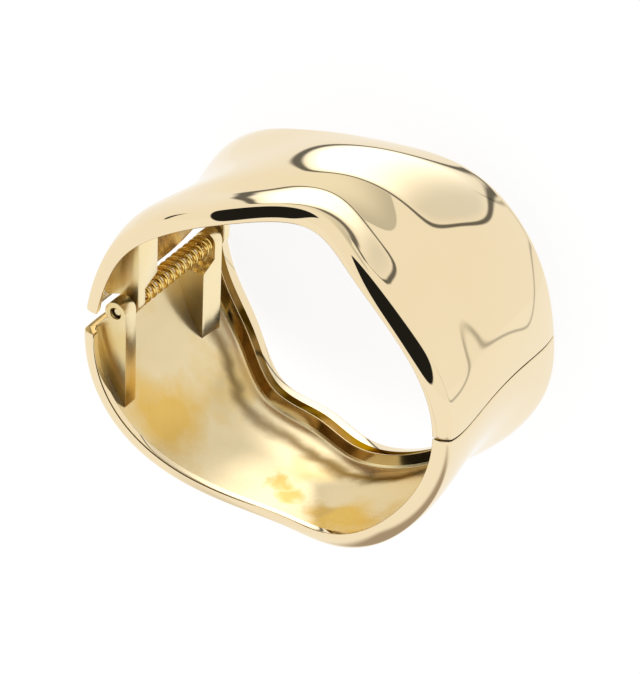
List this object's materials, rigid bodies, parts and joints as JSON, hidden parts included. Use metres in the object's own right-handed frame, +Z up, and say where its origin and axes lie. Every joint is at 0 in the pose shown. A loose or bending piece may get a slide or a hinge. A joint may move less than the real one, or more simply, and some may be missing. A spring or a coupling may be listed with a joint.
{
  "type": "hinged cuff bangle",
  "caption": "Wide gold-toned hinged cuff bangle with softly waved rims and a domed front, a sprung inside hinge and a fine seam at the mouth.",
  "frame": {"origin": "on the surface it lies on, under the middle of the bangle's outline", "axes": "+Z up along the wrist axis, from the rear rim that it rests on to the front rim; +X from the hinge towards the mouth; +Y towards the domed half"},
  "size_m": [0.0671, 0.0611, 0.0415],
  "materials": {
    "gold": "mirror-polished pale gold plating, a little rougher inside",
    "spring_gold": "bright drawn wire with gold plating"
  },
  "bodies": {
    "lower_half": {"lower_shell": "gold", "hinge_pin": "gold", "spring": "spring_gold"},
    "upper_half": {"upper_shell": "gold"}
  },
  "joints": [
    {"name": "mouth_hinge", "type": "hinge", "parent": "lower_half", "child": "upper_half", "pos_m": [-0.0275, 0.0003, 0.022], "axis": [0, 0, 1], "range_deg": [0, 36], "stiffness_Nm_per_rad": 0.2, "springref_deg": -28.65, "deforming": ["spring"]}
  ]
}
